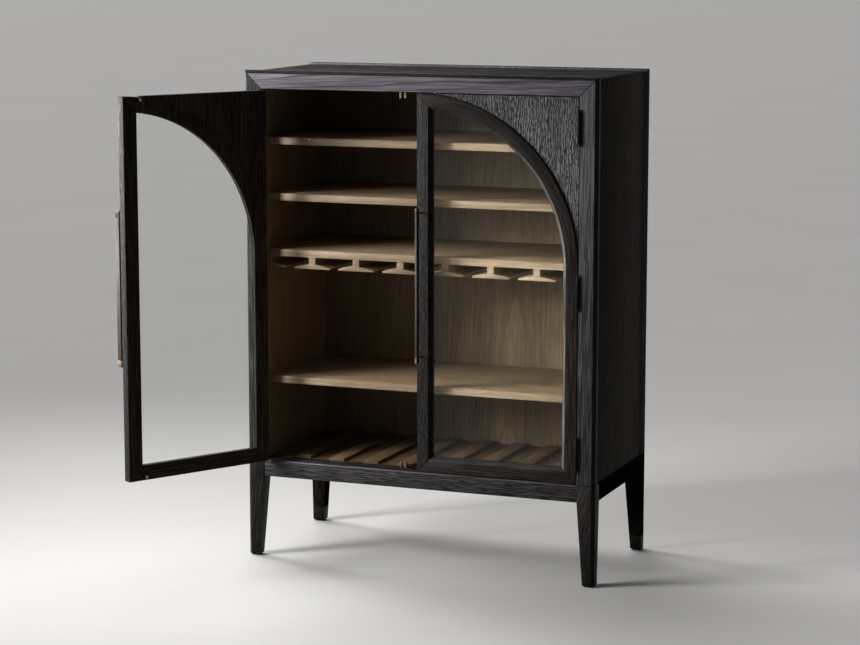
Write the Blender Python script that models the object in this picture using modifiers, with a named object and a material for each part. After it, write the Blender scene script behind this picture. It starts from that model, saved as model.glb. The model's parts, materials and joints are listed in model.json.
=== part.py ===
# A low bar cabinet: a dark oak case on a base with tapered legs, two arched glass doors, oak shelves,
# hanging rails for stemware and a ribbed board for bottles.
# Metres, +Z up, the front faces -Y. The left door stands open and the right door is closed.

import math

import bmesh
import bpy
from mathutils import Matrix, Vector

# Whole cabinet
HEIGHT = 1.400
WIDTH = 1.045
DEPTH = 0.490
SEAM = 0.0003  # left between pieces that touch

# Case
FRAME_WIDTH = 0.051  # face width of the front frame, the rear frame and the leg tops
FRONT_THICKNESS = 0.024
REAR_THICKNESS = 0.035
EDGE_CHAMFER = 0.0085
REVEAL = 0.005  # how far the top and side panels lie inside the frames
PANEL_THICKNESS = 0.022
BACK_THICKNESS = 0.010
SHADOW_GAP = 0.006  # open groove between the panels and the rear frame

# Base
BASE_HEIGHT = 0.285
RAIL_HEIGHT = 0.048
RAIL_SETBACK = 0.0015
LEG_DEPTH = 0.045
FOOT_WIDTH = 0.033
CAP_HEIGHT = 0.044
CAP_CHAMFER = 0.004
SPIGOT_WIDTH = 0.014
SPIGOT_LENGTH = 0.028
TENON_LENGTH = 0.015
TENON_THICKNESS = 0.014
TENON_SHOULDER = 0.010
FLOOR_THICKNESS = 0.018

# Shelves: the two lower bays have a set clear height, and the bays above them share what is left
SHELF_THICKNESS = 0.020
SHELF_SETBACK = 0.022
HOUSING_DEPTH = 0.006  # grooves that hold the ends of the shelves and the floor
BOTTLE_BAY = 0.219
GLASS_BAY = 0.3465

# Stemware rails
STEM_SLOTS = 7
RAIL_STEM = 0.020
SLOT_GAP = 0.026
CHANNEL_HEIGHT = 0.0195
FLANGE_ROOT = 0.0135
FLANGE_TIP = 0.005

# Wine rack
BOTTLE_PLACES = 9
RIB_WIDTH = 0.044
RIB_HEIGHT = 0.0075
RACK_BASE = 0.0035

# Doors
OPEN_ANGLE = math.radians(120)
DOOR_GAP = 0.003
DOOR_THICKNESS = 0.025
MEMBER_FACE = 0.033
MEMBER_BEVEL = 0.010
SPANDREL_RECESS = 0.006
SPANDREL_TIP = 0.003  # height at which the thin ends of the spandrel stop
GLASS_THICKNESS = 0.004
GLASS_SETBACK = 0.0125
GLASS_HOLD = 0.006  # depth of the groove that holds the glass
ARC_STEPS = 40

# Hinges
HINGE_HEIGHT = 0.084
HINGE_INSET = 0.082
BARREL_RADIUS = 0.0045
PIN_RADIUS = 0.002
PIN_CLEARANCE = 0.0003
LEAF_CLEARANCE = 0.0004
LEAF_DEPTH = 0.016
TIP_HEIGHT = 0.008
TURN_STEPS = 20

# Handles
HANDLE_LENGTH = 0.433
HANDLE_WIDTH = 0.006
HANDLE_DEPTH = 0.018
HANDLE_STANDOFF = 0.025
HANDLE_INSET = 0.014
POST_RADIUS = 0.0027
POST_INSET = 0.013

# Catches and strikes
CATCH_OFFSET = 0.052  # from the middle of the cabinet
CATCH_PLATE = (0.150, 0.016, 0.002)
CATCH_SETBACK = 0.004  # behind the door
PRONG = (0.005, 0.008, 0.017)
PRONG_GAP = 0.009
TONGUE_CLEARANCE = 0.0015
TONGUE_DEPTH = 0.010
STRIKE_PLATE = (0.030, 0.002, 0.012)
STRIKE_INSET = 0.011  # from the door's end to the middle of the strike

# Lines that several pieces share
HALF = WIDTH / 2
INNER = HALF - FRAME_WIDTH
PANEL_OUTER = HALF - REVEAL
PANEL_INNER = PANEL_OUTER - PANEL_THICKNESS
PANEL_TOP = HEIGHT - REVEAL
CEILING = HEIGHT - FRAME_WIDTH
SEAT = BASE_HEIGHT + SEAM
REAR_FACE = DEPTH - REAR_THICKNESS
BACK_FRONT = REAR_FACE - SEAM - BACK_THICKNESS
CASE_FRONT = FRONT_THICKNESS + SEAM
CASE_REAR = BACK_FRONT - SEAM
PANEL_REAR = REAR_FACE - SHADOW_GAP
TAPER_TOP = BASE_HEIGHT - RAIL_HEIGHT
SHELF_FRONT = FRONT_THICKNESS + SHELF_SETBACK
HOUSED = INNER + HOUSING_DEPTH - SEAM
LOWER_SHELF = BASE_HEIGHT + BOTTLE_BAY
STEM_SHELF = LOWER_SHELF + SHELF_THICKNESS + GLASS_BAY
SHELF_BAY = (CEILING - STEM_SHELF) / 3 - SHELF_THICKNESS
SECOND_SHELF = STEM_SHELF + SHELF_THICKNESS + SHELF_BAY
UPPER_SHELF = SECOND_SHELF + SHELF_THICKNESS + SHELF_BAY

# Lines of a door, across from its hinge edge and up from the floor
DOOR_WIDTH = INNER - 1.5 * DOOR_GAP
DOOR_BOTTOM = BASE_HEIGHT + DOOR_GAP
DOOR_TOP = CEILING - DOOR_GAP
SPRING = DOOR_TOP - DOOR_WIDTH
MEMBER_WIDTH = MEMBER_FACE + MEMBER_BEVEL
DOOR_FACE = BARREL_RADIUS + SEAM  # behind the hinge axis
HINGE_X = INNER - DOOR_GAP / 2

# Collections
for old in list(bpy.data.objects):
    bpy.data.objects.remove(old)
cabinet = bpy.data.collections.new("low_bar_cabinet")
cutters = bpy.data.collections.new("cutters")
cutters.hide_render = True
bpy.context.scene.collection.children.link(cabinet)
bpy.context.scene.collection.children.link(cutters)


# Finishes
def finish(name, colour, roughness, metallic=0.0):
    material = bpy.data.materials.new(name)
    material.use_nodes = True
    surface = material.node_tree.nodes["Principled BSDF"]
    surface.inputs["Base Color"].default_value = (*colour, 1.0)
    surface.inputs["Roughness"].default_value = roughness
    surface.inputs["Metallic"].default_value = metallic
    return material


DARK_OAK = finish("dark_oak", (0.030, 0.024, 0.022), 0.55)
PALE_OAK = finish("pale_oak", (0.42, 0.27, 0.15), 0.50)
CAP_BRONZE = finish("cap_bronze", (0.075, 0.060, 0.050), 0.45, 0.6)
HINGE_BRONZE = finish("hinge_bronze", (0.030, 0.025, 0.022), 0.40, 0.8)
HANDLE_BRONZE = finish("handle_bronze", (0.25, 0.14, 0.08), 0.35, 0.9)
CATCH_COPPER = finish("catch_copper", (0.45, 0.22, 0.12), 0.35, 0.9)
CLEAR_GLASS = finish("clear_glass", (0.90, 0.93, 0.92), 0.03)


# Making and joining pieces
def mesh_of(name, shape):
    bmesh.ops.recalc_face_normals(shape, faces=shape.faces[:])
    mesh = bpy.data.meshes.new(name)
    shape.to_mesh(mesh)
    shape.free()
    return mesh


def place(name, mesh, material, parent, offset=(0, 0, 0), turn=0.0):
    # A piece with its origin in its own middle; a piece without a material is a tool for cutting or joining
    low = Vector(min(v.co[i] for v in mesh.vertices) for i in range(3))
    high = Vector(max(v.co[i] for v in mesh.vertices) for i in range(3))
    middle = (low + high) / 2
    mesh.transform(Matrix.Translation(-middle))
    piece = bpy.data.objects.new(name, mesh)
    piece.location = Vector(offset) + Matrix.Rotation(turn, 3, "Z") @ middle
    piece.rotation_euler.z = turn
    piece.parent = parent
    if material:
        mesh.materials.append(material)
        cabinet.objects.link(piece)
    else:
        piece.display_type = "WIRE"
        piece.hide_render = True
        cutters.objects.link(piece)
    return piece


def board(name, corner, opposite, material, parent):
    corner, opposite = Vector(corner), Vector(opposite)
    shape = bmesh.new()
    bmesh.ops.create_cube(shape, size=1.0)
    bmesh.ops.scale(shape, vec=opposite - corner, verts=shape.verts)
    bmesh.ops.translate(shape, vec=(corner + opposite) / 2, verts=shape.verts)
    return place(name, mesh_of(name, shape), material, parent)


def slab(name, outline, face, behind, material, parent, eased=0, chamfer=0.0, offset=(0, 0, 0), turn=0.0):
    # An outline in X and Z made solid from one plane to another; its first edges may be chamfered on the face
    shape = bmesh.new()
    corners = [shape.verts.new((x, face, z)) for x, z in outline]
    edges = [shape.edges.new(pair) for pair in zip(corners, corners[1:] + corners[:1])]
    sheet = bmesh.ops.contextual_create(shape, geom=edges)["faces"]
    grown = bmesh.ops.extrude_face_region(shape, geom=sheet)["geom"]
    moved = [item for item in grown if isinstance(item, bmesh.types.BMVert)]
    bmesh.ops.translate(shape, vec=(0, behind - face, 0), verts=moved)
    if eased:
        bmesh.ops.recalc_face_normals(shape, faces=shape.faces[:])
        bmesh.ops.bevel(shape, geom=edges[:eased], offset=chamfer, segments=1, affect="EDGES")
    return place(name, mesh_of(name, shape), material, parent, offset, turn)


def turned(name, profile, closed, parent, offset):
    # A tool turned round the Z axis from a profile of radius and height, given from the top down its outer side
    mesh = bpy.data.meshes.new(name)
    links = [(i, i + 1) for i in range(len(profile) - 1)]
    if closed:
        links.append((len(profile) - 1, 0))
    mesh.from_pydata([(radius, 0, z) for radius, z in profile], links, [])
    tool = bpy.data.objects.new(name, mesh)
    tool.location = offset
    tool.parent = parent
    tool.display_type = "WIRE"
    tool.hide_render = True
    cutters.objects.link(tool)
    lathe = tool.modifiers.new("turn", "SCREW")
    lathe.steps = TURN_STEPS
    lathe.render_steps = TURN_STEPS
    lathe.use_merge_vertices = True
    lathe.merge_threshold = 0.00001
    return tool


def shape_with(piece, operation, tool):
    step = piece.modifiers.new(tool.name, "BOOLEAN")
    step.operation = operation
    step.solver = "EXACT"
    step.object = tool


def cut(piece, *tools):
    for tool in tools:
        shape_with(piece, "DIFFERENCE", tool)


def join(piece, *tools):
    for tool in tools:
        shape_with(piece, "UNION", tool)


def box_round(middle, size, growth=0.0):
    half = Vector(size) / 2 + Vector((growth, growth, growth))
    return Vector(middle) - half, Vector(middle) + half


def arc(centre, radius, start, end):
    # Points of a circle in X and Z from one angle to another, in degrees
    angles = [math.radians(start + (end - start) * i / ARC_STEPS) for i in range(ARC_STEPS + 1)]
    return [(centre[0] + radius * math.cos(a), centre[1] + radius * math.sin(a)) for a in angles]


root = bpy.data.objects.new("cabinet_root", None)
cabinet.objects.link(root)
SIDES = {"left": -1, "right": 1}


# Front frame, mitred at its top corners, and the rear frame
slab("front_top_rail",
     [(SEAM - HALF, HEIGHT), (HALF - SEAM, HEIGHT), (INNER - SEAM, CEILING), (SEAM - INNER, CEILING)],
     0, FRONT_THICKNESS, DARK_OAK, root, eased=1, chamfer=EDGE_CHAMFER)
for hand, side in SIDES.items():
    slab(f"{hand}_front_stile",
         [(side * HALF, SEAT), (side * HALF, HEIGHT), (side * INNER, CEILING), (side * INNER, SEAT)],
         0, FRONT_THICKNESS, DARK_OAK, root, eased=1, chamfer=EDGE_CHAMFER)
slab("rear_frame",
     [(-HALF, SEAT), (-HALF, HEIGHT), (HALF, HEIGHT), (HALF, SEAT),
      (INNER, SEAT), (INNER, CEILING), (-INNER, CEILING), (-INNER, SEAT)],
     DEPTH, REAR_FACE, DARK_OAK, root, eased=3, chamfer=EDGE_CHAMFER)

# Panels, linings, ceiling and back
mitre_foot = PANEL_TOP - PANEL_THICKNESS
slab("top_panel",
     [(SEAM - PANEL_OUTER, PANEL_TOP), (PANEL_OUTER - SEAM, PANEL_TOP),
      (PANEL_INNER - SEAM, mitre_foot), (SEAM - PANEL_INNER, mitre_foot)],
     CASE_FRONT, PANEL_REAR, DARK_OAK, root)
linings = []
for hand, side in SIDES.items():
    slab(f"{hand}_side_panel",
         [(side * PANEL_OUTER, SEAT), (side * PANEL_OUTER, PANEL_TOP),
          (side * PANEL_INNER, mitre_foot), (side * PANEL_INNER, SEAT)],
         CASE_FRONT, PANEL_REAR, DARK_OAK, root)
    linings.append(board(f"{hand}_side_lining",
                         (side * INNER, CASE_FRONT, SEAT),
                         (side * (PANEL_INNER - SEAM), CASE_REAR, mitre_foot - SEAM), PALE_OAK, root))
board("ceiling_panel", (SEAM - INNER, CASE_FRONT, CEILING), (INNER - SEAM, CASE_REAR, mitre_foot - SEAM),
      PALE_OAK, root)
board("back_panel", (SEAM - PANEL_INNER, BACK_FRONT, SEAT),
      (PANEL_INNER - SEAM, REAR_FACE - SEAM, mitre_foot - SEAM), PALE_OAK, root)

# Plain shelves, housed in the linings
plain_shelves = {"upper_shelf": UPPER_SHELF, "second_shelf": SECOND_SHELF, "lower_shelf": LOWER_SHELF}
for name, bottom in plain_shelves.items():
    board(name, (-HOUSED, SHELF_FRONT, bottom), (HOUSED, CASE_REAR, bottom + SHELF_THICKNESS), PALE_OAK, root)
for name, bottom in {**plain_shelves, "stemware_shelf": STEM_SHELF}.items():
    housing = board(f"{name}_housing", (-HOUSED - SEAM, SHELF_FRONT - SEAM, bottom - SEAM),
                    (HOUSED + SEAM, DEPTH, bottom + SHELF_THICKNESS + SEAM), None, root)
    for lining in linings:
        cut(lining, housing)

# Stemware shelf: one board with T rails under it, and half rails along the linings
slot_pitch = 2 * INNER / STEM_SLOTS
channel_half = (slot_pitch - RAIL_STEM) / 2
flange_bottom = STEM_SHELF - CHANNEL_HEIGHT - FLANGE_ROOT
wall = INNER - SEAM
stem_outline = [(-wall, STEM_SHELF), (-HOUSED, STEM_SHELF), (-HOUSED, STEM_SHELF + SHELF_THICKNESS),
                (HOUSED, STEM_SHELF + SHELF_THICKNESS), (HOUSED, STEM_SHELF), (wall, STEM_SHELF),
                (wall, flange_bottom)]
for slot in reversed(range(STEM_SLOTS)):
    middle = (slot + 0.5) * slot_pitch - INNER
    half_slot = [(SLOT_GAP / 2, flange_bottom), (SLOT_GAP / 2, flange_bottom + FLANGE_TIP),
                 (channel_half, flange_bottom + FLANGE_ROOT), (channel_half, STEM_SHELF)]
    stem_outline += [(middle + x, z) for x, z in half_slot]
    stem_outline += [(middle - x, z) for x, z in reversed(half_slot)]
stem_outline.append((-wall, flange_bottom))
slab("stemware_shelf", stem_outline, SHELF_FRONT, CASE_REAR, PALE_OAK, root)

# Wine rack: a board with ribs between the places for bottles
rack_floor = SEAT + RACK_BASE
rack_outline = [(-wall, rack_floor), (-wall, SEAT), (wall, SEAT), (wall, rack_floor)]
bottle_pitch = 2 * INNER / BOTTLE_PLACES
for place_number in reversed(range(1, BOTTLE_PLACES)):
    middle = place_number * bottle_pitch - INNER
    right, left = middle + RIB_WIDTH / 2, middle - RIB_WIDTH / 2
    rack_outline += [(right, rack_floor), (right, rack_floor + RIB_HEIGHT)]
    rack_outline += [(left, rack_floor + RIB_HEIGHT), (left, rack_floor)]
slab("wine_rack", rack_outline, LEG_DEPTH + SEAM, CASE_REAR, PALE_OAK, root)

# Base rails with a tenon at each end, and the floor between them
tenon_height = RAIL_HEIGHT - 2 * TENON_SHOULDER
rail_middle = BASE_HEIGHT - RAIL_HEIGHT / 2
mortises = []
for end, face in {"front": RAIL_SETBACK, "rear": DEPTH - RAIL_SETBACK}.items():
    inside = LEG_DEPTH if end == "front" else DEPTH - LEG_DEPTH
    rail = board(f"{end}_base_rail", (SEAM - INNER, face, TAPER_TOP), (INNER - SEAM, inside, BASE_HEIGHT),
                 DARK_OAK, root)
    middle = (0, (face + inside) / 2, rail_middle)
    size = (2 * (INNER + TENON_LENGTH), TENON_THICKNESS, tenon_height)
    join(rail, board(f"{end}_rail_tenon", *box_round(middle, size), None, root))
    mortises.append(board(f"{end}_rail_mortise", *box_round(middle, size, SEAM), None, root))
for hand, side in SIDES.items():
    outer = side * (HALF - RAIL_SETBACK)
    ledge = BASE_HEIGHT - FLOOR_THICKNESS - SEAM
    rebate = side * (INNER + HOUSING_DEPTH)
    rail = slab(f"{hand}_base_rail",
                [(side * INNER, TAPER_TOP), (outer, TAPER_TOP), (outer, BASE_HEIGHT), (rebate, BASE_HEIGHT),
                 (rebate, ledge), (side * INNER, ledge)],
                LEG_DEPTH + SEAM, DEPTH - LEG_DEPTH - SEAM, DARK_OAK, root)
    middle = ((outer + rebate) / 2, DEPTH / 2, rail_middle)
    size = (TENON_THICKNESS, DEPTH - 2 * LEG_DEPTH + 2 * TENON_LENGTH, tenon_height)
    join(rail, board(f"{hand}_rail_tenon", *box_round(middle, size), None, root))
    mortises.append(board(f"{hand}_rail_mortise", *box_round(middle, size, SEAM), None, root))
board("bottom_panel", (-HOUSED, LEG_DEPTH + SEAM, BASE_HEIGHT - FLOOR_THICKNESS),
      (HOUSED, DEPTH - LEG_DEPTH - SEAM, BASE_HEIGHT), PALE_OAK, root)


# Legs with foot caps: straight down to the rails' lower edge, then tapered on their two inner faces
def leg_mesh(name, side, inward, low, high, foot_chamfer):
    shape = bmesh.new()
    bmesh.ops.create_cube(shape, size=1.0)
    bmesh.ops.scale(shape, vec=(1, 1, high - low), verts=shape.verts)
    bmesh.ops.translate(shape, vec=(0.5, 0.5, (low + high) / 2), verts=shape.verts)
    everything = shape.verts[:] + shape.edges[:] + shape.faces[:]
    bmesh.ops.bisect_plane(shape, geom=everything, plane_co=(0, 0, TAPER_TOP), plane_no=(0, 0, 1))
    for vert in shape.verts:
        share = min(vert.co.z / TAPER_TOP, 1.0)
        vert.co.x *= FOOT_WIDTH + (FRAME_WIDTH - FOOT_WIDTH) * share
        vert.co.y *= FOOT_WIDTH + (LEG_DEPTH - FOOT_WIDTH) * share
    corner = [edge for edge in shape.edges if all(v.co.xy.length < SEAM for v in edge.verts)]
    bmesh.ops.bevel(shape, geom=corner, offset=EDGE_CHAMFER, segments=1, affect="EDGES")
    if foot_chamfer:
        sole = [edge for edge in shape.edges if all(v.co.z < SEAM for v in edge.verts)]
        bmesh.ops.bevel(shape, geom=sole, offset=foot_chamfer, segments=2, affect="EDGES")
    bmesh.ops.scale(shape, vec=(-side, inward, 1), verts=shape.verts)
    return mesh_of(name, shape)


for end, inward in {"front": 1, "rear": -1}.items():
    for hand, side in SIDES.items():
        corner = (side * HALF, 0 if end == "front" else DEPTH, 0)
        leg_name = f"{end}_{hand}_leg"
        cap_name = f"{end}_{hand}_foot_cap"
        leg = place(leg_name, leg_mesh(leg_name, side, inward, CAP_HEIGHT + SEAM, BASE_HEIGHT, 0.0),
                    DARK_OAK, root, corner)
        cap = place(cap_name, leg_mesh(cap_name, side, inward, 0.0, CAP_HEIGHT, CAP_CHAMFER),
                    CAP_BRONZE, root, corner)
        spigot_middle = Vector(corner) + Vector((-side * FOOT_WIDTH / 2, inward * FOOT_WIDTH / 2, CAP_HEIGHT))
        size = (SPIGOT_WIDTH, SPIGOT_WIDTH, 2 * SPIGOT_LENGTH)
        join(leg, board(f"{leg_name}_spigot", *box_round(spigot_middle, size), None, root))
        cut(cap, board(f"{leg_name}_socket", *box_round(spigot_middle, size, SEAM), None, root))
        cut(leg, *(tool for tool in mortises if tool.name.startswith((end, hand))))

# Catches: a plate under the ceiling and one on the front base rail, with a pair of prongs for each door
catch_front = DOOR_THICKNESS + CATCH_SETBACK
prong_out = (PRONG_GAP + PRONG[0]) / 2
for level, mount, up in (("upper", CEILING - SEAM, -1), ("lower", SEAT, 1)):
    catch = board(f"{level}_catch", (-CATCH_PLATE[0] / 2, catch_front, mount),
                  (CATCH_PLATE[0] / 2, catch_front + CATCH_PLATE[1], mount + up * CATCH_PLATE[2]),
                  CATCH_COPPER, root)
    prong_height = CATCH_PLATE[2] / 2 + PRONG[2]
    prong_z = mount + up * (CATCH_PLATE[2] + PRONG[2] - prong_height / 2)
    for middle in (-CATCH_OFFSET, CATCH_OFFSET):
        for x in (middle - prong_out, middle + prong_out):
            centre = (x, catch_front + 0.001 + PRONG[1] / 2, prong_z)
            join(catch, board(f"{level}_prong", *box_round(centre, (PRONG[0], PRONG[1], prong_height)), None, root))


# A door, drawn across from its hinge edge; its empty lies on the hinge axis and the axis is X = Y = 0
def build_door(hand, side, opened):
    axis = (side * HINGE_X, -DOOR_FACE, 0)
    swing = bpy.data.objects.new(f"{hand}_door", None)
    swing.location = axis
    swing.rotation_euler.z = side * opened
    swing.parent = root
    cabinet.objects.link(swing)
    back = DOOR_FACE + DOOR_THICKNESS

    def across(points):
        return [(-side * (DOOR_GAP / 2 + u), z) for u, z in points]

    def opening(hold, overlap):
        # Outline of the glazed opening, larger all round by the hold, and the angle where its arc ends
        edge = MEMBER_WIDTH - hold
        radius = DOOR_WIDTH - edge
        last = 180 - math.degrees(math.acos((edge + overlap) / radius))
        return arc((DOOR_WIDTH, SPRING), radius, 180, last), edge

    # Frame members: the inner edges come first in each outline and carry the bevel round the glass
    inner_arc, edge = opening(0.0, 0.0)
    inner_top = inner_arc[-1][1]
    free = DOOR_WIDTH - edge
    rise = DOOR_BOTTOM + edge
    stile = slab(f"{hand}_door_meeting_stile",
                 across([(free, rise), (free, inner_top), (DOOR_WIDTH, DOOR_TOP), (DOOR_WIDTH, DOOR_BOTTOM)]),
                 DOOR_FACE, back, DARK_OAK, swing, eased=1, chamfer=MEMBER_BEVEL)
    rail = slab(f"{hand}_door_bottom_rail",
                across([(edge + SEAM, rise), (free - SEAM, rise), (DOOR_WIDTH - SEAM, DOOR_BOTTOM),
                        (SEAM, DOOR_BOTTOM)]),
                DOOR_FACE, back, DARK_OAK, swing, eased=1, chamfer=MEMBER_BEVEL)
    inner_arc, edge = opening(0.0, SEAM)
    outer_end = 180 - math.degrees(math.acos(SEAM / DOOR_WIDTH))
    outer_arc = arc((DOOR_WIDTH, SPRING), DOOR_WIDTH, outer_end, 180)
    arch = slab(f"{hand}_door_arched_stile",
                across([(edge, rise)] + inner_arc + outer_arc + [(0, DOOR_BOTTOM)]),
                DOOR_FACE, back, DARK_OAK, swing, eased=len(inner_arc), chamfer=MEMBER_BEVEL)

    # Spandrel outside the arch, sunk behind the members' faces
    clear_radius = DOOR_WIDTH + SEAM
    tip = math.sqrt(clear_radius**2 - (DOOR_WIDTH - SPANDREL_TIP) ** 2)
    tip_angle = math.degrees(math.asin(tip / clear_radius))
    sweep = arc((DOOR_WIDTH, SPRING), clear_radius, 90 + tip_angle, 180 - tip_angle)
    slab(f"{hand}_door_spandrel_panel",
         across(sweep + [(0, SPRING + tip), (0, DOOR_TOP), (DOOR_WIDTH - tip, DOOR_TOP)]),
         DOOR_FACE + SPANDREL_RECESS, back, DARK_OAK, swing)

    # Glass, and the groove for it in each member
    def pane(name, hold, growth, material):
        glass_arc, glass_edge = opening(hold, 0.0)
        outline = [(glass_edge, DOOR_BOTTOM + glass_edge)] + glass_arc
        outline.append((DOOR_WIDTH - glass_edge, DOOR_BOTTOM + glass_edge))
        front = DOOR_FACE + GLASS_SETBACK
        return slab(name, across(outline), front - growth, front + GLASS_THICKNESS + growth, material, swing)

    pane(f"{hand}_door_glass", GLASS_HOLD - SEAM, 0.0, CLEAR_GLASS)
    groove = pane(f"{hand}_glass_groove", GLASS_HOLD, SEAM, None)
    for member in (stile, rail, arch):
        cut(member, groove)

    # Handle: a bar on edge, on two round posts
    middle_z = (DOOR_TOP + DOOR_BOTTOM) / 2
    handle_x = -side * (DOOR_GAP / 2 + DOOR_WIDTH - HANDLE_INSET)
    bar_y = DOOR_FACE - HANDLE_STANDOFF - HANDLE_DEPTH / 2
    bar = board(f"{hand}_door_handle",
                *box_round((handle_x, bar_y, middle_z), (HANDLE_WIDTH, HANDLE_DEPTH, HANDLE_LENGTH)),
                HANDLE_BRONZE, swing)
    for up in (-1, 1):
        shape = bmesh.new()
        bmesh.ops.create_cone(shape, cap_ends=True, segments=TURN_STEPS, radius1=POST_RADIUS,
                              radius2=POST_RADIUS, depth=DOOR_FACE - SEAM - bar_y)
        bmesh.ops.rotate(shape, matrix=Matrix.Rotation(math.pi / 2, 3, "X"), verts=shape.verts)
        post_z = middle_z + up * (HANDLE_LENGTH / 2 - POST_INSET)
        offset = (handle_x, (DOOR_FACE - SEAM + bar_y) / 2, post_z)
        join(bar, place(f"{hand}_handle_post", mesh_of("handle_post", shape), None, swing, offset))

    # Strikes on the inner face, with a tongue that passes between the prongs of a catch
    strike_x = -side * (HINGE_X - CATCH_OFFSET)
    tongue_width = PRONG_GAP - 2 * TONGUE_CLEARANCE
    for level, z in (("upper", DOOR_TOP - STRIKE_INSET), ("lower", DOOR_BOTTOM + STRIKE_INSET)):
        plate_y = back + SEAM + STRIKE_PLATE[1] / 2
        strike = board(f"{hand}_door_{level}_strike", *box_round((strike_x, plate_y, z), STRIKE_PLATE),
                       CATCH_COPPER, swing)
        tongue_y = plate_y + TONGUE_DEPTH / 2
        tongue = box_round((strike_x, tongue_y, z), (tongue_width, TONGUE_DEPTH, 2 * STRIKE_PLATE[2] / 3))
        join(strike, board(f"{hand}_{level}_tongue", *tongue, None, swing))

    # Hinges: frame leaf with two knuckles and the pin, door leaf with the middle knuckle
    leaf_thickness = (DOOR_GAP - LEAF_CLEARANCE) / 2 - SEAM
    top = HINGE_HEIGHT / 2
    frame_knuckle = (HINGE_HEIGHT / 3 + SEAM) / 2
    door_knuckle = (HINGE_HEIGHT / 3 - SEAM) / 2
    leaf_start = BARREL_RADIUS + LEAF_CLEARANCE
    leaf_end = DOOR_FACE + LEAF_DEPTH
    bore = PIN_RADIUS + PIN_CLEARANCE
    tip_end = top + TIP_HEIGHT
    half_pin = [(0, tip_end), (0.6 * BARREL_RADIUS, tip_end), (0.8 * BARREL_RADIUS, tip_end - 0.3 * TIP_HEIGHT),
                (0.6 * BARREL_RADIUS, top + 0.2 * TIP_HEIGHT), (BARREL_RADIUS, top),
                (BARREL_RADIUS, frame_knuckle), (PIN_RADIUS, frame_knuckle)]
    pin_profile = half_pin + [(radius, -z) for radius, z in reversed(half_pin)]
    tube_profile = [(BARREL_RADIUS, door_knuckle), (BARREL_RADIUS, -door_knuckle), (bore, -door_knuckle),
                    (bore, door_knuckle)]
    frame_outline = [(0, top), (leaf_end, top), (leaf_end, -top), (0, -top), (0, -frame_knuckle),
                     (leaf_start, -frame_knuckle), (leaf_start, frame_knuckle), (0, frame_knuckle)]
    tab = (bore + BARREL_RADIUS) / 2
    door_outline = [(leaf_start, top), (leaf_end, top), (leaf_end, -top), (leaf_start, -top),
                    (leaf_start, -door_knuckle), (tab, -door_knuckle), (tab, door_knuckle),
                    (leaf_start, door_knuckle)]
    near, far = LEAF_CLEARANCE / 2, LEAF_CLEARANCE / 2 + leaf_thickness
    heights = {"upper": DOOR_TOP - HINGE_INSET, "middle": middle_z, "lower": DOOR_BOTTOM + HINGE_INSET}
    for level, z in heights.items():
        on_frame = Vector(axis) + Vector((0, 0, z))
        leaf = slab(f"{hand}_{level}_hinge_frame_leaf", frame_outline, -side * near, -side * far,
                    HINGE_BRONZE, root, offset=on_frame, turn=math.pi / 2)
        join(leaf, turned(f"{hand}_{level}_hinge_pin", pin_profile, False, root, on_frame))
        leaf = slab(f"{hand}_{level}_hinge_door_leaf", door_outline, side * near, side * far,
                    HINGE_BRONZE, swing, offset=(0, 0, z), turn=math.pi / 2)
        join(leaf, turned(f"{hand}_{level}_hinge_knuckle", tube_profile, True, swing, (0, 0, z)))


build_door("left", SIDES["left"], OPEN_ANGLE)
build_door("right", SIDES["right"], 0.0)

# The origin goes to the middle of the whole cabinet's footprint, at floor level
bpy.context.view_layer.update()
graph = bpy.context.evaluated_depsgraph_get()
spots = []
for piece in cabinet.objects:
    if piece.type == "MESH":
        solid = piece.evaluated_get(graph)
        spots += [solid.matrix_world @ vert.co for vert in solid.data.vertices]
for i in (0, 1):
    values = [spot[i] for spot in spots]
    root.location[i] = -(min(values) + max(values)) / 2
bpy.context.view_layer.update()
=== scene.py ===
# Looks of the low bar cabinet: oak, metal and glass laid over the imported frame.
# Metres, +Z up, the front faces -Y. At rest the left door stands open and the right door is closed.
import json
import math

import bpy
from mathutils import Matrix, Vector

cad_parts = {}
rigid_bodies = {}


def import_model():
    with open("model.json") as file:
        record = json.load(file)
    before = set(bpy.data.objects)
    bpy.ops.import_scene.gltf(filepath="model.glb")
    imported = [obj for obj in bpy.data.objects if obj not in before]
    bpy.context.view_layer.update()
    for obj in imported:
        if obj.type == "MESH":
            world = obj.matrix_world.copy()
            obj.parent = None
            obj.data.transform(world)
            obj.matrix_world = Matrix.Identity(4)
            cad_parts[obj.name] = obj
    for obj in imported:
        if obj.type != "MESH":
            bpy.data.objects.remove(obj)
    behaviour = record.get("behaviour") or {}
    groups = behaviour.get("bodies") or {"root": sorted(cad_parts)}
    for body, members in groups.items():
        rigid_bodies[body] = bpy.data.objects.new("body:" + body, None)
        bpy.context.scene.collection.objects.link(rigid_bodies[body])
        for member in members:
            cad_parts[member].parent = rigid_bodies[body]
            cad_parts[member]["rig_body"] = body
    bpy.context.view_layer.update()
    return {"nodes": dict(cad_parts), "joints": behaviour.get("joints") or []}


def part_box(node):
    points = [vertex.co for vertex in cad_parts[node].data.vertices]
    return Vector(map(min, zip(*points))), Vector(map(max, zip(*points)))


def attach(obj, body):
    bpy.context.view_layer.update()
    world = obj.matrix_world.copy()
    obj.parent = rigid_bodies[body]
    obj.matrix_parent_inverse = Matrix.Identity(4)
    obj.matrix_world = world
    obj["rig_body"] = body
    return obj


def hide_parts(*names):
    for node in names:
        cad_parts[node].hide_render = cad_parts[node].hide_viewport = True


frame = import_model()
nodes = frame["nodes"]
bpy.ops.object.select_all(action="DESELECT")

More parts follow.
